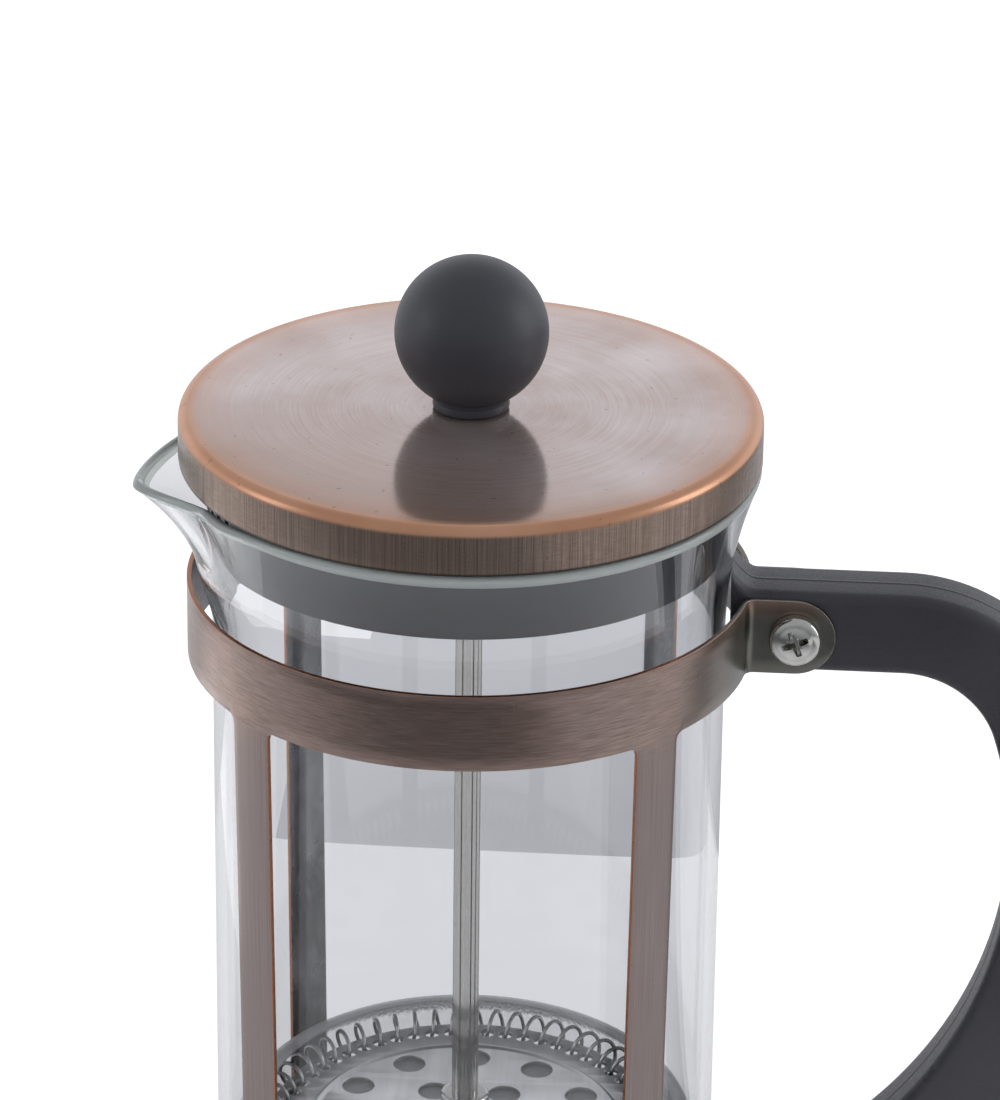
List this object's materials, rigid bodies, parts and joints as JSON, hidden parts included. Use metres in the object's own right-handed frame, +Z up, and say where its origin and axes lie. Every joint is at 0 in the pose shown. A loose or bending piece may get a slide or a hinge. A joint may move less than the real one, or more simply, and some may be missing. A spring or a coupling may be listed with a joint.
{
  "type": "french press",
  "caption": "Glass coffee press in a copper-toned strip cage with a black loop handle, flat plated lid and ball-knob plunger with a sprung mesh filter.",
  "frame": {"origin": "on the table plane, on the beaker's and cage's common axis, at the centre of the foot pad's underside", "axes": "+Z up along the plunger rod, +X towards the handle, +Y to the left of the handle seen from above; the spout is near -X"},
  "size_m": [0.171, 0.1012, 0.1973],
  "materials": {
    "glass": "clear heat-proof glass",
    "copper_strip": "antique copper plate on steel, brushed along the strip",
    "copper_lid": "antique copper plate on steel, spun brushing",
    "seat_rubber": "matt",
    "pad_rubber": "matt, ribbed",
    "handle_plastic": "fine spark-eroded texture",
    "knob_plastic": "satin",
    "insert_plastic": "satin",
    "bright_steel": "bright zinc",
    "rod_steel": "polished stainless",
    "filter_steel": "stamped stainless sheet",
    "spring_steel": "drawn stainless wire",
    "mesh_steel": "fine woven stainless",
    "brass": "turned"
  },
  "bodies": {
    "frame": {"cage": "copper_strip", "base_dish": "copper_strip", "seat_ring": "seat_rubber", "foot_pad": "pad_rubber", "handle": "handle_plastic", "upper_screw": "bright_steel", "upper_nut": "bright_steel", "lower_screw": "bright_steel", "lower_nut": "bright_steel"},
    "beaker": {"beaker": "glass"},
    "lid": {"lid_cap": "copper_lid", "lid_insert": "insert_plastic"},
    "plunger": {"knob": "knob_plastic", "knob_insert": "brass", "plunger_rod": "rod_steel", "rod_collar": "rod_steel", "spiral_plate": "filter_steel", "filter_spring": "spring_steel", "mesh_screen": "mesh_steel", "cross_plate": "filter_steel", "cross_plate_nut": "rod_steel"}
  },
  "joints": [
    {"name": "beaker_lift", "type": "slide", "parent": "frame", "child": "beaker", "axis": [0, 0, 1], "range_m": [0, 0.14]},
    {"name": "lid_lift", "type": "slide", "parent": "beaker", "child": "lid", "axis": [0, 0, 1], "range_m": [0, 0.145]},
    {"name": "plunger_slide", "type": "slide", "parent": "lid", "child": "plunger", "axis": [0, 0, 1], "range_m": [0, 0.112]}
  ]
}
